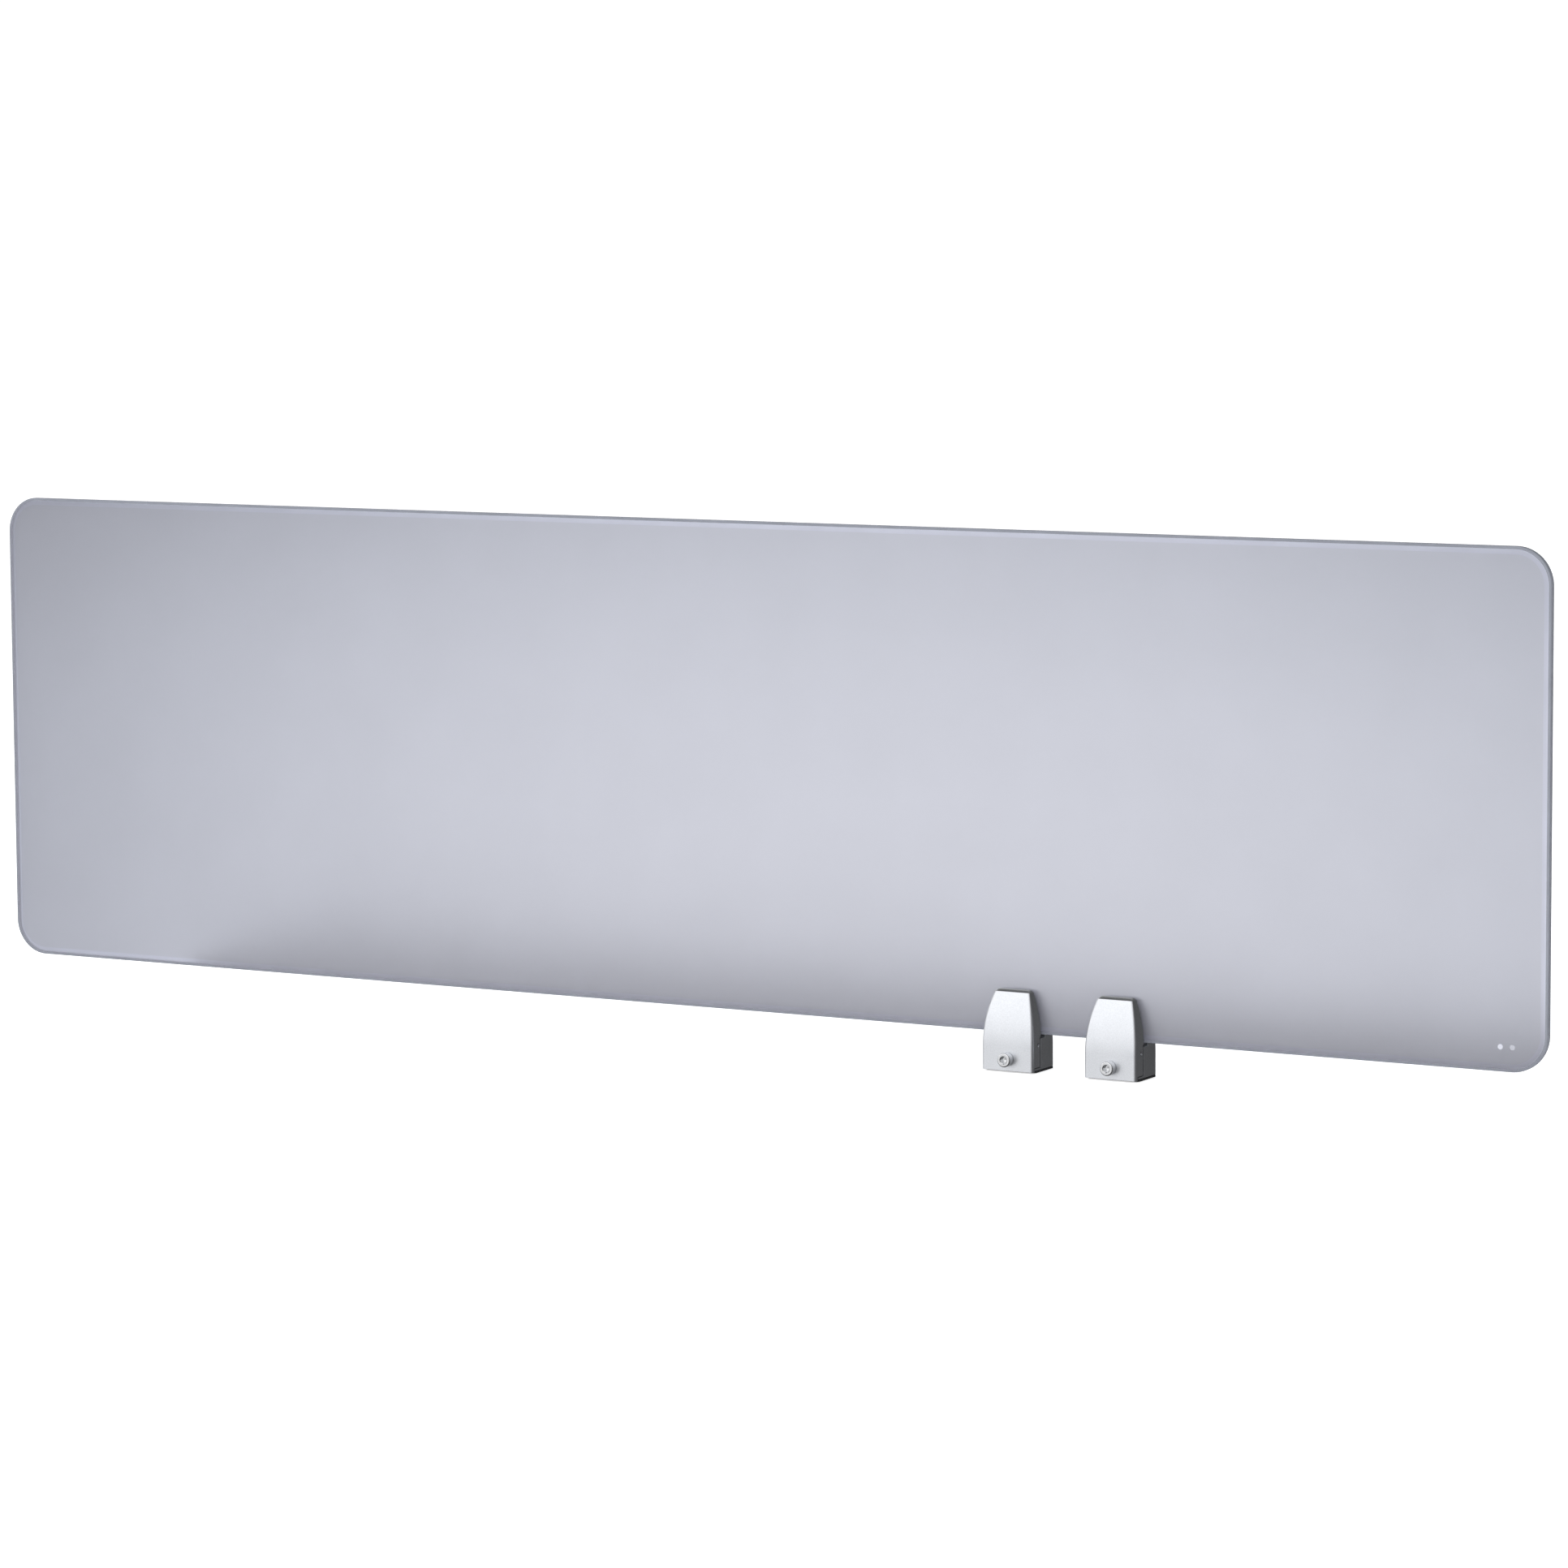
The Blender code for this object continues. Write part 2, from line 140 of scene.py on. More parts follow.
DESK_INSERT_X = 15 * MM
DESK_INSERT_Y = 9 * MM
DESK_INSERT_HOLE = 4.6 * MM
DESK_INSERT_HOLE_TOP = 14.6 * MM
DESK_INSERT_BORE = 2.75 * MM
BOLT_HOLE = 3.6 * MM

BUSH_KNURL_DEPTH = 0.16 * MM
BUSH_KNURLS = 32
BUSH_GROOVES = 2
BUSH_GROOVE_DEPTH = 0.5 * MM
BUSH_THREAD_DEPTH = 0.25 * MM


# ------------------------------------------------------------ mesh tools

def to_object(bm, name):
    bmesh.ops.recalc_face_normals(bm, faces=bm.faces)
    mesh = bpy.data.meshes.new(name)
    bm.to_mesh(mesh)
    bm.free()
    piece = bpy.data.objects.new(name, mesh)
    bpy.context.scene.collection.objects.link(piece)
    return piece


def skin(bm, rings, close_ends=True, material=None):
    """Join rings of vertices into a closed skin, and cap its ends."""
    for ring, following in zip(rings, rings[1:]):
        count = len(ring)
        for step in range(count):
            after = (step + 1) % count
            face = bm.faces.new((ring[step], ring[after], following[after], following[step]))
            if material is not None:
                face.material_index = material
    if close_ends:
        bm.faces.new(rings[0])
        bm.faces.new(rings[-1])


def arc(centre, radius, start, end, steps):
    points = []
    for step in range(steps + 1):
        angle = math.radians(start + (end - start) * step / steps)
        points.append((centre[0] + radius * math.cos(angle), centre[1] + radius * math.sin(angle)))
    return points


def rounded_rectangle(left, bottom, right, top, radius, steps):
    corners = [
        ((right - radius, bottom + radius), -90),
        ((right - radius, top - radius), 0),
        ((left + radius, top - radius), 90),
        ((left + radius, bottom + radius), 180),
    ]
    points = []
    for centre, start in corners:
        points += arc(centre, radius, start, start + 90, steps)
    return points


def prism(outline, low, high, axis, name="prism"):
    bm = bmesh.new()
    rings = []
    for level in (low, high):
        if axis == AXIS_X:
            ring = [bm.verts.new((level, u, v)) for u, v in outline]
        elif axis == AXIS_Y:
            ring = [bm.verts.new((u, level, v)) for u, v in outline]
        else:
            ring = [bm.verts.new((u, v, level)) for u, v in outline]
        rings.append(ring)
    skin(bm, rings)
    return to_object(bm, name)


def block(low, high):
    outline = [(low.y, low.z), (high.y, low.z), (high.y, high.z), (low.y, high.z)]
    return prism(outline, low.x, high.x, AXIS_X)


def turned(profile, axis, centre, name="turned", steps=48, ripple=None):
    """Turn a profile of (radius, distance along). ripple(radius, along, angle) trims the radius."""
    bm = bmesh.new()
    side = AXIS_Z if axis != AXIS_Z else AXIS_X
    other = axis.cross(side)
    closed = profile[0] == profile[-1]
    rings = []
    for radius, along in profile[:-1] if closed else profile:
        ring = []
        for step in range(steps):
            angle = 2 * math.pi * step / steps
            reach = radius - (ripple(radius, along, angle) if ripple else 0)
            spoke = side * math.cos(angle) + other * math.sin(angle)
            ring.append(bm.verts.new(centre + axis * along + spoke * reach))
        rings.append(ring)
    if closed:
        rings.append(rings[0])
    skin(bm, rings, close_ends=not closed)
    return to_object(bm, name)


def rod(radius, low, high, axis, centre):
    return turned([(radius, low), (radius, high)], axis, centre, "rod")


def combine(piece, tool, operation):
    modifier = piece.modifiers.new("combine", "BOOLEAN")
    modifier.operation = operation
    modifier.object = tool
    modifier.solver = "EXACT"
    bake_modifiers(piece)
    bpy.data.objects.remove(tool)


def cut(piece, *tools):
    for tool in tools:
        combine(piece, tool, "DIFFERENCE")


def bake_modifiers(piece):
    graph = bpy.context.evaluated_depsgraph_get()
    mesh = bpy.data.meshes.new_from_object(piece.evaluated_get(graph))
    piece.modifiers.clear()
    piece.data = mesh


def soften(piece, width=SOFT_EDGE, segments=3, angle=30):
    """Round every sharp edge a little."""
    bevel = piece.modifiers.new("soften", "BEVEL")
    bevel.width = width
    bevel.segments = segments
    bevel.limit_method = "ANGLE"
    bevel.angle_limit = math.radians(angle)
    bake_modifiers(piece)


def smooth(piece, angle=32):
    piece.data.shade_smooth()
    piece.data.set_sharp_from_angle(angle=math.radians(angle))
    normals = piece.modifiers.new("even_normals", "WEIGHTED_NORMAL")
    normals.keep_sharp = True
    bake_modifiers(piece)


# ------------------------------------------------------------ materials

NOISE_SPAN = (0.3, 0.7)         # nearly all of a noise's values lie in here
EDGE_SPAN = (0.86, 0.995)       # bevelled normal against plain one: on an edge, and off it
# how far sharp edges are lightened: rubbed wear and a painted edge highlight
EDGE_WEAR_AND_HIGHLIGHT = 0.65
ACRYLIC_IOR = 1.49


def map_range(tree, value, low, high, from_low=0.0, from_high=1.0):
    """A node that maps value from from_low .. from_high to low .. high."""
    node = tree.nodes.new("ShaderNodeMapRange")
    node.inputs["From Min"].default_value = from_low
    node.inputs["From Max"].default_value = from_high
    node.inputs["To Min"].default_value = low
    node.inputs["To Max"].default_value = high
    tree.links.new(value, node.inputs["Value"])
    return node


class Shader:
    """A Principled material and the few nodes that give it grain."""

    def __init__(self, name, colour, roughness, metallic=0.0):
        self.material = bpy.data.materials.new(name)
        self.material.use_nodes = True
        self.tree = self.material.node_tree
        self.surface = self.tree.nodes["Principled BSDF"]
        self.set("Base Color", (*colour, 1))
        self.set("Roughness", roughness)
        self.set("Metallic", metallic)
        self.place = self.tree.nodes.new("ShaderNodeTexCoord").outputs["Object"]

    def set(self, socket, value):
        self.surface.inputs[socket].default_value = value

    def link(self, output, node, socket):
        self.tree.links.new(output, node.inputs[socket])

    def noise(self, size, detail=3.0, stretch=(1, 1, 1)):
        """Noise whose grain is about size metres, drawn out by stretch."""
        mapping = self.tree.nodes.new("ShaderNodeMapping")
        mapping.inputs["Scale"].default_value = [1 / (size * s) for s in stretch]
        self.link(self.place, mapping, "Vector")
        node = self.tree.nodes.new("ShaderNodeTexNoise")
        node.inputs["Scale"].default_value = 1.0
        node.inputs["Detail"].default_value = detail
        self.link(mapping.outputs[0], node, "Vector")
        return node.outputs["Fac"]

    def vary_colour(self, value, dark, light):
        ramp = self.tree.nodes.new("ShaderNodeValToRGB")
        for stop, position, colour in zip(ramp.color_ramp.elements, NOISE_SPAN, (dark, light)):
            stop.position = position
            stop.color = (*colour, 1)
        self.link(value, ramp, "Fac")
        self.link(ramp.outputs["Color"], self.surface, "Base Color")
        return ramp

    def vary_roughness(self, value, low, high):
        level = map_range(self.tree, value, low, high, *NOISE_SPAN)
        self.link(level.outputs["Result"], self.surface, "Roughness")

    def bump(self, value, depth, strength=1.0, onto=None):
        node = self.tree.nodes.new("ShaderNodeBump")
        node.inputs["Distance"].default_value = depth
        node.inputs["Strength"].default_value = strength
        self.link(value, node, "Height")
        if onto is not None:
            self.link(onto, node, "Normal")
        self.link(node.outputs["Normal"], self.surface, "Normal")
        return node.outputs["Normal"]

    def wear_and_highlight_edges(self, radius, colour, ramp):
        """Lighten the colour where the surface turns sharply within radius: rubbed wear and a
        painted edge highlight.
        """
        bevel = self.tree.nodes.new("ShaderNodeBevel")
        bevel.inputs["Radius"].default_value = radius
        bevel.samples = 6
        plain = self.tree.nodes.new("ShaderNodeNewGeometry").outputs["Normal"]
        facing = self.tree.nodes.new("ShaderNodeVectorMath")
        facing.operation = "DOT_PRODUCT"
        self.link(bevel.outputs["Normal"], facing, 0)
        self.link(plain, facing, 1)
        wear_and_highlight = map_range(self.tree, facing.outputs["Value"], EDGE_WEAR_AND_HIGHLIGHT, 0.0, *EDGE_SPAN)
        mix = self.tree.nodes.new("ShaderNodeMix")
        mix.data_type = "RGBA"
        self.link(wear_and_highlight.outputs["Result"], mix, 0)
        self.link(ramp.outputs["Color"], mix, 6)
        mix.inputs[7].default_value = (*colour, 1)
        self.link(mix.outputs[2], self.surface, "Base Color")


def scaled(colour, factor):
    return tuple(min(1.0, c * factor) for c in colour)


def frosted_acrylic():
    colour = (0.61, 0.61, 0.70)
    shader = Shader("frosted_acrylic_face", colour, 0.5)
    shader.set("IOR", ACRYLIC_IOR)
    shader.set("Transmission Weight", 0.8)
    shader.vary_colour(shader.noise(0.09, 4), scaled(colour, 0.985), scaled(colour, 1.015))
    shader.vary_roughness(shader.noise(0.0012, 2), 0.46, 0.54)
    fine = shader.bump(shader.noise(0.00035, 2), 0.00002, 0.35)
    shader.bump(shader.noise(0.0022, 3), 0.00004, 0.2, fine)
    return shader.material


def clear_margin():
    colour = (0.66, 0.66, 0.79)
    shader = Shader("acrylic_margin", colour, 0.38)
    shader.set("IOR", ACRYLIC_IOR)
    shader.set("Transmission Weight", 0.8)
    shader.vary_colour(shader.noise(0.04, 3), scaled(colour, 0.97), scaled(colour, 1.03))
    shader.vary_roughness(shader.noise(0.003, 2), 0.34, 0.42)
    shader.bump(shader.noise(0.0015, 2), 0.00002, 0.2)
    return shader.material


def polished_acrylic():
    colour = (0.24, 0.25, 0.29)
    shader = Shader("polished_acrylic_edge", colour, 0.12)
    shader.set("IOR", ACRYLIC_IOR)
    shader.set("Transmission Weight", 0.2)
    streaks = shader.noise(0.003, 4, (8, 1, 8))
    shader.vary_colour(streaks, scaled(colour, 0.92), scaled(colour, 1.06))
    shader.vary_roughness(streaks, 0.08, 0.2)
    shader.bump(streaks, 0.00003, 0.3)
    return shader.material


def cast_metal(name, colour):
    shader = Shader(name, colour, 0.36, 1.0)
    grain = shader.noise(0.0011, 4)
    ramp = shader.vary_colour(grain, scaled(colour, 0.93), scaled(colour, 1.04))
    # lighter sharp edges: rubbed wear and a painted edge highlight
    shader.wear_and_highlight_edges(0.0006, scaled(colour, 1.12), ramp)
    shader.vary_roughness(shader.noise(0.012, 3), 0.34, 0.40)
    fine = shader.bump(shader.noise(0.0003, 2), 0.00002, 0.3)
    shader.bump(grain, 0.00004, 0.3, fine)
    return shader.material


def turned_metal(name, colour, roughness):
    shader = Shader(name, colour, roughness, 1.0)
    lines = shader.noise(0.0002, 2, (6, 1, 6))
    shader.vary_colour(shader.noise(0.002, 3), scaled(colour, 0.9), scaled(colour, 1.05))
    shader.vary_roughness(shader.noise(0.0008, 3), roughness * 0.8, roughness * 1.3)
    shader.bump(lines, 0.00001, 0.3)
    return shader.material


def rubber(name, colour, grain):
    shader = Shader(name, colour, 0.75)
    shader.vary_colour(shader.noise(0.004, 4), scaled(colour, 0.8), scaled(colour, 1.25))
    shader.vary_roughness(shader.noise(0.0015, 2), 0.65, 0.85)
    shader.bump(shader.noise(grain, 2), grain * 0.15, 0.6)
    return shader.material


# a flat light grey with a little blue, for a small disc on the sheet
def grey_dot(name, grey):
    colour = (grey, grey, grey * 1.12)
    shader = Shader(name, colour, 0.5)
    shader.vary_colour(shader.noise(0.0008, 2), scaled(colour, 0.95), scaled(colour, 1.03))
    shader.bump(shader.noise(0.0004, 2), 0.00002, 0.4)
    return shader.material


MATERIALS = {
    "frosted_acrylic": frosted_acrylic(),
    "clear_margin": clear_margin(),
    "polished_acrylic": polished_acrylic(),
    "cast_body": cast_metal("cast_body", (0.78, 0.80, 0.84)),
    "cast_jaw": cast_metal("cast_jaw", (0.80, 0.82, 0.86)),
    "steel_screw": turned_metal("steel_screw", (0.74, 0.75, 0.77), 0.2),
    "steel_pin": turned_metal("steel_pin", (0.62, 0.63, 0.65), 0.25),
    "steel_shoe": turned_metal("steel_shoe", (0.55, 0.56, 0.58), 0.3),
    "steel_seat": turned_metal("steel_seat", (0.42, 0.43, 0.45), 0.3),
    "brass_insert": turned_metal("brass_insert", (0.78, 0.60, 0.28), 0.28),
    "grip_rubber": rubber("grip_rubber", (0.05, 0.05, 0.055), 0.0006),
    "rest_rubber": rubber("rest_rubber", (0.07, 0.07, 0.075), 0.0006),
    "base_rubber": rubber("base_rubber", (0.02, 0.02, 0.023), 0.0009),
    # two light grey discs, the first lighter than the second
    "grey_dot_1": grey_dot("grey_dot_bright", 0.57),
    "grey_dot_2": grey_dot("grey_dot_faint", 0.43),
}


# ------------------------------------------------------------ sheet

SHEET_SLOTS = ("frosted_acrylic", "clear_margin", "polished_acrylic")
FROSTED, MARGIN, POLISHED = range(len(SHEET_SLOTS))


def make_sheet():
    """The sheet: frosted faces, a clear margin, and a polished edge all round."""
    bm = bmesh.new()
    front, back = SHEET_LOW.y, SHEET_HIGH.y

    def ring(inset, level):
        outline = rounded_rectangle(
            SHEET_LOW.x + inset, SHEET_LOW.z + inset, SHEET_HIGH.x - inset, SHEET_HIGH.z - inset,
            SHEET_CORNER - inset, SHEET_CORNER_STEPS)
        return [bm.verts.new((u, level, v)) for u, v in outline]

    def round_over(degrees):
        """How far in from the edge and from the face the round is at an angle."""
        angle = math.radians(degrees)
        return SHEET_ARRIS * (1 - math.sin(angle)), SHEET_ARRIS * (1 - math.cos(angle))

    edge = [ring(SHEET_POLISH, front)]
    for degrees in range(0, 91, 15):
        inset, depth = round_over(degrees)
        edge.append(ring(inset, front + depth))
    for degrees in range(90, -1, -15):
        inset, depth = round_over(degrees)
        edge.append(ring(inset, back - depth))
    edge.append(ring(SHEET_POLISH, back))
    inner_front = ring(SHEET_MARGIN, front)
    inner_back = ring(SHEET_MARGIN, back)
    skin(bm, [inner_front, edge[0]], close_ends=False, material=MARGIN)
    skin(bm, edge, close_ends=False, material=POLISHED)
    skin(bm, [edge[-1], inner_back], close_ends=False, material=MARGIN)
    bm.faces.new(inner_front).material_index = FROSTED
    bm.faces.new(inner_back).material_index = FROSTED
    sheet = to_object(bm, "frosted_sheet")
    smooth(sheet)
    for slot in SHEET_SLOTS:
        sheet.data.materials.append(MATERIALS[slot])
    sheet.visible_glossy = False    # the clamps don't mirror it
    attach(sheet, "panel")
    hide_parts("panel_sheet")


DOT_RADIUS = 2.4 * MM
DOT_THICKNESS = 0.06 * MM
DOT_GAP = 0.01 * MM             # clear of the sheet's face
DOT_FROM_RIGHT = (44.4 * MM, 33.0 * MM)
DOT_FROM_BOTTOM = 21.9 * MM


def make_dots():
    """Two thin light grey discs on the sheet's front near the lower right corner, the first lighter
    than the second.
    """
    for number, inset in enumerate(DOT_FROM_RIGHT, 1):
        centre = Vector((SHEET_HIGH.x - inset, 0, SHEET_LOW.z + DOT_FROM_BOTTOM))
        top = SHEET_LOW.y - DOT_THICKNESS
        profile = [(DOT_RADIUS * 0.96, top), (DOT_RADIUS, top + DOT_THICKNESS / 2),
                   (DOT_RADIUS, SHEET_LOW.y - DOT_GAP)]
        dot = turned(profile, AXIS_Y, centre, f"grey_dot_{number}")
        smooth(dot)
        dot.data.materials.append(MATERIALS[f"grey_dot_{number}"])
        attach(dot, "panel")


# ------------------------------------------------------------ clamp castings

def taper(height, radius):
    rise = max(0.0, height - TAPER_START)
    return radius - math.sqrt(radius ** 2 - rise ** 2)


def make_envelope():
    """The outer form of a whole clamp, lofted through level sections."""
    shoulder = BODY_HIGH.z - TOP_CHAMFER
    steps = 16
    sections = [(JAW_LOW.z, 0)]
    for step in range(steps + 1):
        sections.append((TAPER_START + (shoulder - TAPER_START) * step / steps, 0))
    sections.append((BODY_HIGH.z, TOP_CHAMFER))
    bm = bmesh.new()
    rings = []
    for height, chamfer in sections:
        across = HALF_WIDTH - taper(height, SIDE_TAPER_RADIUS) - chamfer
        deep = HALF_DEPTH - taper(height, FACE_TAPER_RADIUS) - chamfer
        outline = rounded_rectangle(-across, -deep, across, deep, EDGE_RADIUS, EDGE_STEPS)
        rings.append([bm.verts.new((u, v, height)) for u, v in outline])
    skin(bm, rings)
    return to_object(bm, "envelope")


def lug_outline(radius):
    """A round end about the pivot, open towards the back."""
    round_end = arc((PIVOT.y, PIVOT.z), radius, 90, 270, 18)
    return round_end + [(0, PIVOT.z - radius), (0, PIVOT.z + radius)]


def pad_recess(pad):
    """The pocket in a jaw's inner face that its grip pad sits in."""
    low, high = local_box(pad)
    clear = Vector((1, 1, 1)) * PAD_CLEARANCE
    return block(low - clear, high + clear)


def hole(radius, low, high, axis, centre, chamfer, mouth):
    """A round hole with a chamfer where it opens at mouth, low being the outer end."""
    profile = [(radius + chamfer, low), (radius + chamfer, mouth), (radius, mouth + chamfer),
               (radius, high)]
    return turned(profile, axis, centre, "hole")


def make_clamp_body():
    far = 2 * BODY_HIGH.z
    bottom = BODY_LOW.z
    outline = [
        (FLANGE_FRONT, bottom), (far, bottom), (far, far), (JAW_FACE, far),
        (JAW_FACE, BLOCK_TOP), (BLOCK_FRONT, BLOCK_TOP), (BLOCK_FRONT, FLANGE_TOP),
        (FLANGE_FRONT, FLANGE_TOP),
    ]
    body = make_envelope()
    combine(body, prism(outline, -far, far, AXIS_X), "INTERSECT")
    soften(body)
    lug = prism(lug_outline(LUG_RADIUS), -LUG_HALF_WIDTH, LUG_HALF_WIDTH, AXIS_X)
    soften(lug, LUG_SOFT_EDGE, segments=2)
    combine(body, lug, "UNION")
    cut(
        body,
        rod(PIN_HOLE, -far, far, AXIS_X, PIVOT),
        hole(SHOE_BORE, SHOE_BORE_FRONT, SHOE_BORE_BACK, AXIS_Y, SCREW_LINE,
             chamfer=0.4 * MM, mouth=BLOCK_FRONT),
        pad_recess("rear_grip_pad"),
    )
    for x in (-DESK_INSERT_X, DESK_INSERT_X):
        foot = Vector((x, DESK_INSERT_Y, 0))
        cut(body, hole(DESK_INSERT_HOLE, 0, DESK_INSERT_HOLE_TOP, AXIS_Z, foot,
                       chamfer=0.3 * MM, mouth=bottom))
    return body


def make_front_jaw():
    far = 2 * BODY_HIGH.z
    outline = [
        (-far, 0), (SKIRT_BACK, 0), (SKIRT_BACK, FOOT_BOTTOM), (FOOT_BACK, FOOT_BOTTOM),
        (FOOT_BACK, STEP_LOW), (-JAW_FACE, STEP_HIGH), (-JAW_FACE, far), (-far, far),
    ]
    jaw = make_envelope()
    combine(jaw, prism(outline, -far, far, AXIS_X), "INTERSECT")
    soften(jaw)
    cut(
        jaw,
        prism(lug_outline(POCKET_RADIUS), -POCKET_HALF_WIDTH, POCKET_HALF_WIDTH, AXIS_X),
        rod(PIN_HOLE, -far, far, AXIS_X, PIVOT),
        rod(THREAD_INSERT_HOLE, THREAD_INSERT_FRONT, 0, AXIS_Y, SCREW_LINE),
        hole(SCREW_MOUTH, -far, 0, AXIS_Y, SCREW_LINE, chamfer=0.5 * MM, mouth=JAW_LOW.y),
        pad_recess("front_grip_pad"),
    )
    return jaw


# ------------------------------------------------------------ clamp small parts

def make_grip_pad(node, inner):
    """A rubber pad with ribs across its gripping face. inner is that face's side, -1 or 1."""
    low, high = local_box(node)
    back, face = (low.y, high.y) if inner > 0 else (high.y, low.y)
    rib_depth = 0.35 * MM
    ribs = 14
    rib = (high.z - low.z) / ribs
    outline = [(back, low.z)]
    for number in range(ribs):
        start = low.z + number * rib
        outline.append((face - inner * rib_depth, start + 0.1 * rib))
        outline.append((face, start + 0.35 * rib))
        outline.append((face, start + 0.65 * rib))
        outline.append((face - inner * rib_depth, start + 0.9 * rib))
    outline.append((back, high.z))
    pad = prism(outline, low.x, high.x, AXIS_X, node)
    soften(pad, width=0.12 * MM, segments=2, angle=25)
    return pad


def make_panel_rest():
    """A rubber block with a shallow trough for the sheet's lower edge."""
    low, high = local_box("panel_rest")
    trough = high.z - 0.25 * MM
    lip = 0.8 * MM
    slope_end = 1.3 * MM
    outline = [
        (low.y, low.z), (high.y, low.z), (high.y, high.z), (high.y - lip, high.z),
        (high.y - slope_end, trough), (low.y + slope_end, trough), (low.y + lip, high.z),
        (low.y, high.z),
    ]
    rest = prism(outline, low.x, high.x, AXIS_X, "panel_rest")
    soften(rest, width=0.2 * MM, segments=2, angle=25)
    return rest


def make_base_pad():
    low, high = local_box("base_pad")
    edge = [(0.4 * MM, 0), (0.1 * MM, 0.1 * MM), (0, 0.4 * MM)]
    sections = [(inset, low.z + rise) for inset, rise in edge]
    sections += [(inset, high.z - rise) for inset, rise in reversed(edge)]
    bm = bmesh.new()
    rings = []
    for inset, level in sections:
        outline = rounded_rectangle(
            low.x + inset, low.y + inset, high.x - inset, high.y - inset, EDGE_RADIUS,
            EDGE_STEPS)
        rings.append([bm.verts.new((u, v, level)) for u, v in outline])
    skin(bm, rings)
    pad = to_object(bm, "base_pad")
    for x in (-DESK_INSERT_X, DESK_INSERT_X):
        cut(pad, rod(BOLT_HOLE, -1, 1, AXIS_Z, Vector((x, DESK_INSERT_Y, 0))))
    return pad


def v_thread(along, angle):
    """How far down a V thread's flank a point is, 0 to 1."""
    turn = along / THREAD_PITCH - angle / (2 * math.pi)
    return abs(2 * (turn - math.floor(turn)) - 1)


def screw_thread(along, angle, start, end):
    """Depth of the screw's thread below its crest, fading out at both ends."""
    fade = min(1.0, (along - start) / THREAD_PITCH, (end - along) / THREAD_PITCH)
    return THREAD_DEPTH * v_thread(along, angle) * max(0.0, fade)


def knurl(depth, count, angle):
    return depth * (0.5 - 0.5 * math.cos(count * angle))


def make_clamp_screw():
    """Socket-head screw: knurled head, hexagon socket, rolled thread and reduced tip."""
    front = SCREW_LOW.y
    tip = SCREW_HIGH.y
    thread_start = SCREW_HEAD_BACK + 0.3 * MM
    thread_end = SCREW_SHOULDER - 0.4 * MM
    knurl_low = front + 1.2 * MM
    knurl_high = SCREW_HEAD_BACK - 0.8 * MM
    profile = [
        (SCREW_HEAD - 1.1 * MM, front), (SCREW_HEAD - 0.75 * MM, front + 0.08 * MM),
        (SCREW_HEAD - 0.3 * MM, front + 0.35 * MM), (SCREW_HEAD, front + 0.9 * MM),
        (SCREW_HEAD, knurl_low), (SCREW_HEAD, knurl_low + 0.25 * MM),
        (SCREW_HEAD, knurl_high - 0.25 * MM), (SCREW_HEAD, knurl_high),
        (SCREW_HEAD, SCREW_HEAD_BACK - 0.25 * MM), (SCREW_HEAD - 0.3 * MM, SCREW_HEAD_BACK),
        (SCREW_RADIUS + 0.3 * MM, SCREW_HEAD_BACK), (SCREW_RADIUS, thread_start),
    ]
    rows = 90
    for row in range(1, rows + 1):
        profile.append((SCREW_RADIUS, thread_start + (thread_end - thread_start) * row / rows))
    profile += [
        (SCREW_RADIUS - 0.4 * MM, SCREW_SHOULDER), (SCREW_TIP_RADIUS, SCREW_SHOULDER),
        (SCREW_TIP_RADIUS, tip - 0.3 * MM), (SCREW_TIP_RADIUS - 0.3 * MM, tip),
    ]

    def ripple(radius, along, angle):
        if radius == SCREW_HEAD and knurl_low < along < knurl_high:
            return knurl(HEAD_KNURL_DEPTH, HEAD_KNURLS, angle)
        if radius == SCREW_RADIUS and thread_start < along < thread_end:
            return screw_thread(along, angle, thread_start, thread_end)
        return 0

    steps = 4 * HEAD_KNURLS
    screw = turned(profile, AXIS_Y, SCREW_LINE, "clamp_screw", steps, ripple)
    corner = SOCKET_FLATS / math.sqrt(3)
    hexagon = arc((0, SCREW_LINE.z), corner, 0, 300, 5)
    mouth = turned(
        [(corner + 0.35 * MM, front - 1 * MM), (corner + 0.35 * MM, front),
         (corner - 0.45 * MM, front + 0.8 * MM)], AXIS_Y, SCREW_LINE)
    floor = turned(
        [(2.6 * MM, front + SOCKET_DEPTH - 1.2 * MM), (0.2 * MM, front + SOCKET_DEPTH)],
        AXIS_Y, SCREW_LINE)
    hexagon_end = front + SOCKET_DEPTH - 1.0 * MM
    cut(screw, prism(hexagon, front - 1 * MM, hexagon_end, AXIS_Y), mouth, floor)
    return screw


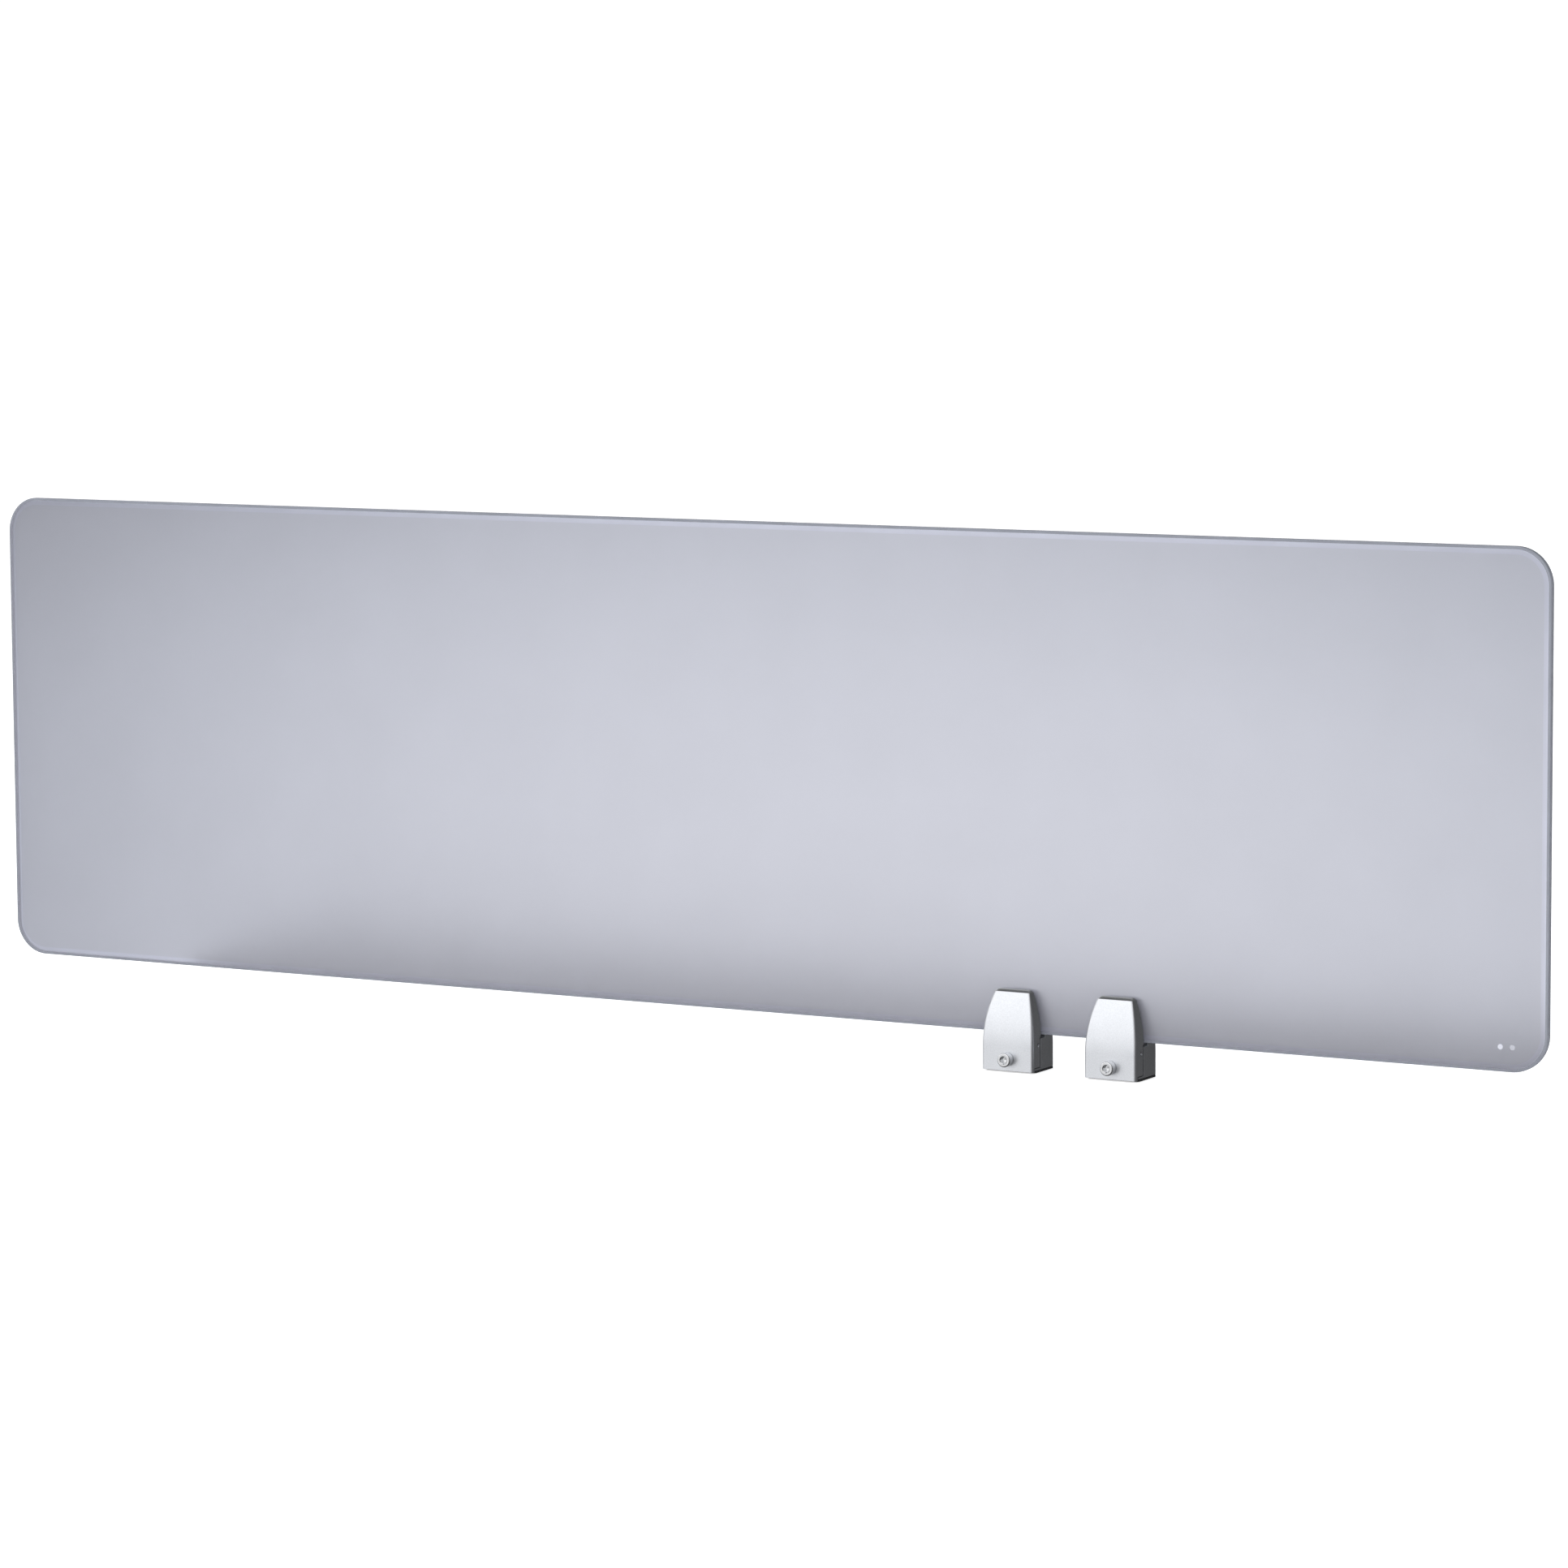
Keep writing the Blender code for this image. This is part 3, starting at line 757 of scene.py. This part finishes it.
def make_bush(node, axis, centre, bore):
    """A knurled, grooved insert with a threaded bore."""
    low, high = local_box(node)
    span = (low.y, high.y) if axis == AXIS_Y else (low.z, high.z)
    outer = (high.x - low.x) / 2
    length = span[1] - span[0]
    chamfer = 0.3 * MM
    profile = [(outer - chamfer, span[0]), (outer, span[0] + chamfer)]
    for number in range(BUSH_GROOVES):
        middle = span[0] + length * (number + 1) / (BUSH_GROOVES + 1)
        for offset, drop in ((-0.5, 0), (-0.35, 1), (0.35, 1), (0.5, 0)):
            profile.append((outer - drop * BUSH_GROOVE_DEPTH, middle + offset * MM))
    profile += [(outer, span[1] - chamfer), (outer - chamfer, span[1]), (bore + chamfer, span[1])]
    rows = 48
    start, end = span[1] - chamfer, span[0] + chamfer
    for row in range(rows + 1):
        profile.append((bore, start + (end - start) * row / rows))
    profile += [(bore + chamfer, span[0]), (outer - chamfer, span[0])]

    def ripple(radius, along, angle):
        if radius == outer:
            return knurl(BUSH_KNURL_DEPTH, BUSH_KNURLS, angle)
        if radius == bore:
            return -BUSH_THREAD_DEPTH * v_thread(along, angle)
        return 0

    return turned(profile, axis, centre, node, 4 * BUSH_KNURLS, ripple)


def chamfered(radius, low, high, chamfer):
    """The profile of a plain rod with both ends chamfered."""
    return [(radius - chamfer, low), (radius, low + chamfer), (radius, high - chamfer),
            (radius - chamfer, high)]


def make_pin():
    profile = chamfered(PIN_RADIUS, PIN_LOW.x, PIN_HIGH.x, 0.35 * MM)
    return turned(profile, AXIS_X, PIVOT, "pivot_pin", ROUND_STEPS)


def make_shoe():
    """A disc with a cup in its front for the screw's tip."""
    low, high = local_box("thrust_shoe")
    outer = (high.z - low.z) / 2
    chamfer = 0.3 * MM
    lip = 0.2 * MM
    profile = [
        (SHOE_CUP, SHOE_CUP_FLOOR), (SHOE_CUP, low.y + lip), (SHOE_CUP + lip, low.y),
        (outer - chamfer, low.y), (outer, low.y + chamfer),
        (outer, high.y - chamfer), (outer - chamfer, high.y),
    ]
    return turned(profile, AXIS_Y, SCREW_LINE, "thrust_shoe", ROUND_STEPS)


def make_seat():
    low, high = local_box("thrust_seat")
    profile = chamfered((high.z - low.z) / 2, low.y, high.y, 0.2 * MM)
    return turned(profile, AXIS_Y, SCREW_LINE, "thrust_seat", ROUND_STEPS)


# ------------------------------------------------------------ both clamps

def desk_insert(number, x):
    centre = Vector((x, DESK_INSERT_Y, 0))
    return make_bush(f"desk_insert_{number}", AXIS_Z, centre, DESK_INSERT_BORE)


def make_clamps():
    pieces = [
        ("clamp_body", make_clamp_body(), "cast_body", "clamp"),
        ("front_jaw", make_front_jaw(), "cast_jaw", "jaw"),
        ("rear_grip_pad", make_grip_pad("rear_grip_pad", -1), "grip_rubber", "clamp"),
        ("front_grip_pad", make_grip_pad("front_grip_pad", 1), "grip_rubber", "jaw"),
        ("panel_rest", make_panel_rest(), "rest_rubber", "clamp"),
        ("base_pad", make_base_pad(), "base_rubber", "clamp"),
        ("clamp_screw", make_clamp_screw(), "steel_screw", "screw"),
        ("thread_insert", make_bush("thread_insert", AXIS_Y, SCREW_LINE, THREAD_INSERT_BORE),
         "brass_insert", "jaw"),
        ("pivot_pin", make_pin(), "steel_pin", "jaw"),
        ("thrust_shoe", make_shoe(), "steel_shoe", "shoe"),
        ("thrust_seat", make_seat(), "steel_seat", "clamp"),
        ("desk_insert_1", desk_insert(1, -DESK_INSERT_X), "brass_insert", "clamp"),
        ("desk_insert_2", desk_insert(2, DESK_INSERT_X), "brass_insert", "clamp"),
    ]
    for name, model, slot, body in pieces:
        smooth(model)
        model.data.materials.clear()
        model.data.materials.append(MATERIALS[slot])
        for side, x in CLAMP_X.items():
            piece = bpy.data.objects.new(f"{side}_{name}_shown", model.data)
            piece.location = (x, 0, 0)
            bpy.context.scene.collection.objects.link(piece)
            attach(piece, f"{side}_{body}")
            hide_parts(f"{side}_{name}")
        bpy.data.objects.remove(model)


# ------------------------------------------------------------ stage, light, camera

def plane(name, width, depth, location, rotation, material):
    bm = bmesh.new()
    bmesh.ops.create_grid(bm, x_segments=1, y_segments=1, size=0.5)
    bmesh.ops.scale(bm, vec=(width, depth, 1), verts=bm.verts)
    mesh = bpy.data.meshes.new(name)
    bm.to_mesh(mesh)
    bm.free()
    piece = bpy.data.objects.new(name, mesh)
    piece.location = location
    piece.rotation_euler = [math.radians(a) for a in rotation]
    mesh.materials.append(material)
    bpy.context.scene.collection.objects.link(piece)
    return piece


UPRIGHT = (90, 0, 0)
LEVEL = (0, 0, 0)
FLOOR_SIZE = 30
FLOOR_LEVEL = -0.2 * MM         # a little under the base pads


def floor_material():
    shader = Shader("studio_floor", (0.9, 0.9, 0.9), 0.6)
    shader.vary_colour(shader.noise(0.4, 3), (0.88, 0.88, 0.88), (0.92, 0.92, 0.92))
    shader.set("Specular IOR Level", 0.1)
    shader.set("Emission Color", (1, 1, 1, 1))
    shader.set("Emission Strength", 0.6)
    return shader.material


def glowing(name, strength):
    """A plain white glow. Its node tree and light are handed back for a card to vary."""
    material = bpy.data.materials.new(name)
    material.use_nodes = True
    tree = material.node_tree
    tree.nodes.clear()
    light = tree.nodes.new("ShaderNodeEmission")
    light.inputs["Color"].default_value = (1, 1, 1, 1)
    light.inputs["Strength"].default_value = strength
    output = tree.nodes.new("ShaderNodeOutputMaterial")
    tree.links.new(light.outputs[0], output.inputs["Surface"])
    return material, tree, light


def seen_only(piece, *kinds):
    """Let a card be seen by these kinds of ray and no others."""
    for kind in ("camera", "diffuse", "glossy", "transmission", "volume_scatter", "shadow"):
        setattr(piece, "visible_" + kind, kind in kinds)


GLOW_SIZE = (6.0, 3.0)
GLOW_HEIGHT = 0.25
GLOW_CENTRE = (-0.03, -0.08)
GLOW_REACH = (1.44, 0.50)
GLOW_POWER = 2.6
GLOW_MIDDLE = 1.27
GLOW_EDGE = 0.03
GLOW_MIDDLE_TINT = (0.92, 0.94, 0.89)
GLOW_EDGE_TINT = (0.86, 0.95, 0.98)
GLOW_DISTANCE = 0.45            # in front of the sheet, and behind it


def glow_card(name, y):
    """A soft light card that is seen through the sheet, brightest low down near the middle."""
    material, tree, light = glowing(name, 1.0)
    place = tree.nodes.new("ShaderNodeTexCoord").outputs["Object"]
    mapping = tree.nodes.new("ShaderNodeMapping")
    mapping.vector_type = "TEXTURE"
    mapping.inputs["Location"].default_value = (*GLOW_CENTRE, 0)
    mapping.inputs["Scale"].default_value = (*GLOW_REACH, 1)
    tree.links.new(place, mapping.inputs["Vector"])
    # under its centre the glow falls off sideways only
    above = tree.nodes.new("ShaderNodeVectorMath")
    above.operation = "MAXIMUM"
    above.inputs[1].default_value = (-GLOW_SIZE[0], 0, 0)
    tree.links.new(mapping.outputs[0], above.inputs[0])
    distance = tree.nodes.new("ShaderNodeVectorMath")
    distance.operation = "LENGTH"
    tree.links.new(above.outputs["Vector"], distance.inputs[0])
    fall = tree.nodes.new("ShaderNodeMath")
    fall.operation = "POWER"
    fall.inputs[1].default_value = GLOW_POWER
    tree.links.new(distance.outputs["Value"], fall.inputs[0])
    level = map_range(tree, fall.outputs[0], GLOW_MIDDLE, GLOW_EDGE)
    tree.links.new(level.outputs["Result"], light.inputs["Strength"])
    tint = tree.nodes.new("ShaderNodeValToRGB")
    tint.color_ramp.elements[0].color = (*GLOW_MIDDLE_TINT, 1)
    tint.color_ramp.elements[1].color = (*GLOW_EDGE_TINT, 1)
    tree.links.new(fall.outputs[0], tint.inputs["Fac"])
    tree.links.new(tint.outputs["Color"], light.inputs["Color"])
    card = plane(name, *GLOW_SIZE, (0, y, GLOW_HEIGHT), UPRIGHT, material)
    seen_only(card, "transmission")


DESK_CORNER = Vector((-0.635, 0.012, 0.03))     # its near left corner
DESK_WIDTH = 1.83
DESK_DEPTH = 0.24
DESK_TURN = -1.9                # degrees, which leaves less of it behind the sheet's right end
DESK_STRENGTH = 0.02


def desk_card():
    """A dark desk top behind the sheet's lower edge, seen only through the sheet."""
    material, _, _ = glowing("desk_dark", DESK_STRENGTH)
    to_middle = Vector((DESK_WIDTH / 2, DESK_DEPTH / 2, 0))
    to_middle.rotate(Matrix.Rotation(math.radians(DESK_TURN), 3, "Z"))
    card = plane(
        "desk_card", DESK_WIDTH, DESK_DEPTH, DESK_CORNER + to_middle, (0, 0, DESK_TURN), material)
    seen_only(card, "transmission")


CEILING_SIZE = (8.0, 4.6)
CEILING_CENTRE = (0, 1.6, 2.5)
CEILING_STRENGTH = 0.04


def ceiling_card():
    """A dark ceiling over and behind the object, seen only as a reflection."""
    material, _, _ = glowing("ceiling_dark", CEILING_STRENGTH)
    card = plane("ceiling_card", *CEILING_SIZE, CEILING_CENTRE, LEVEL, material)
    seen_only(card, "glossy")


REAR_CARD_SIZE = (4.0, 3.0)
REAR_CARD_CENTRE = (-1.5, 1.5, 0.1)
REAR_CARD_BRIGHT = 0.9
REAR_CARD_DIM = 0.1


def rear_card():
    """A soft light card at the back left for the clamps' backs to mirror, dim at its right end."""
    material, tree, light = glowing("rear_light", 1.0)
    place = tree.nodes.new("ShaderNodeTexCoord").outputs["Object"]
    across = tree.nodes.new("ShaderNodeSeparateXYZ")
    tree.links.new(place, across.inputs[0])
    level = map_range(tree, across.outputs["X"], REAR_CARD_BRIGHT, REAR_CARD_DIM,
                      0.0, REAR_CARD_SIZE[0] / 2)
    tree.links.new(level.outputs["Result"], light.inputs["Strength"])
    card = plane("rear_card", *REAR_CARD_SIZE, REAR_CARD_CENTRE, UPRIGHT, material)
    seen_only(card, "glossy")


LAMP_COLOUR = (0.86, 0.95, 1.0)
LAMP_TARGET = Vector((0.1, 0, 0.2))


def area_light(name, location, size, power):
    """A soft rectangular light that faces the object, and isn't mirrored in it."""
    lamp = bpy.data.lights.new(name, "AREA")
    lamp.color = LAMP_COLOUR
    lamp.shape = "RECTANGLE"
    lamp.size, lamp.size_y = size
    lamp.energy = power
    piece = bpy.data.objects.new(name, lamp)
    piece.location = location
    direction = LAMP_TARGET - Vector(location)
    piece.rotation_euler = direction.to_track_quat("-Z", "Y").to_euler()
    piece.visible_glossy = False
    bpy.context.scene.collection.objects.link(piece)


BRIGHT_SIDE = Vector((-0.4, -0.6, 0.69)).normalized()
BRIGHT_SIDE_START = -0.1        # cosine from the bright side at which the room is fully dark
ROOM_DARK = 0.09
ROOM_BRIGHT = 1.3
ROOM_WHITE = 1.05               # the plain background, where nothing is in front of it


def make_room():
    """White behind the object; for reflections, bright at the front left and dark opposite."""
    world = bpy.data.worlds.new("studio")
    world.use_nodes = True
    tree = world.node_tree
    background = tree.nodes["Background"]
    background.inputs["Color"].default_value = (1, 1, 1, 1)
    towards = tree.nodes.new("ShaderNodeVectorMath")
    towards.operation = "DOT_PRODUCT"
    towards.inputs[1].default_value = BRIGHT_SIDE
    tree.links.new(tree.nodes.new("ShaderNodeTexCoord").outputs["Generated"], towards.inputs[0])
    level = map_range(tree, towards.outputs["Value"], ROOM_DARK, ROOM_BRIGHT, BRIGHT_SIDE_START)
    level.interpolation_type = "SMOOTHSTEP"
    choose = tree.nodes.new("ShaderNodeMix")
    choose.data_type = "FLOAT"
    choose.inputs[3].default_value = ROOM_WHITE
    tree.links.new(tree.nodes.new("ShaderNodeLightPath").outputs["Is Camera Ray"],
                   choose.inputs[0])
    tree.links.new(level.outputs["Result"], choose.inputs[2])
    tree.links.new(choose.outputs[0], background.inputs["Strength"])
    bpy.context.scene.world = world


def make_studio():
    floor = plane("studio_floor", FLOOR_SIZE, FLOOR_SIZE, (0, 0, FLOOR_LEVEL), LEVEL,
                  floor_material())
    floor.visible_transmission = False
    floor.visible_glossy = False
    glow_card("back_glow", GLOW_DISTANCE)
    glow_card("front_glow", -GLOW_DISTANCE)
    desk_card()
    ceiling_card()
    rear_card()
    area_light("key_light", location=(-1.6, -2.6, 2.6), size=(2.2, 1.6), power=33)
    area_light("top_light", location=(0.4, 0.6, 3.2), size=(3.0, 2.0), power=30)
    make_room()
    bpy.context.scene.view_settings.view_transform = "Standard"


CAMERA_AZIMUTH = 29.98
CAMERA_ELEVATION = 6.425
CAMERA_ROLL = -0.35
CAMERA_DISTANCE = 5.383
CAMERA_LENS = 133.63
CAMERA_TARGET = Vector((0.0649, -0.003, 0.2488))


def make_camera():
    azimuth = math.radians(CAMERA_AZIMUTH)
    elevation = math.radians(CAMERA_ELEVATION)
    back = Vector((math.sin(azimuth) * math.cos(elevation),
                   -math.cos(azimuth) * math.cos(elevation), math.sin(elevation)))
    data = bpy.data.cameras.new("camera")
    data.lens = CAMERA_LENS
    data.sensor_width = 36
    camera = bpy.data.objects.new("camera", data)
    turn = (-back).to_track_quat("-Z", "Y").to_matrix().to_4x4()
    roll = Matrix.Rotation(math.radians(CAMERA_ROLL), 4, "Z")
    camera.matrix_world = Matrix.Translation(CAMERA_TARGET + back * CAMERA_DISTANCE) @ turn @ roll
    bpy.context.scene.collection.objects.link(camera)
    bpy.context.scene.camera = camera


make_sheet()
make_dots()
make_clamps()
make_studio()
make_camera()
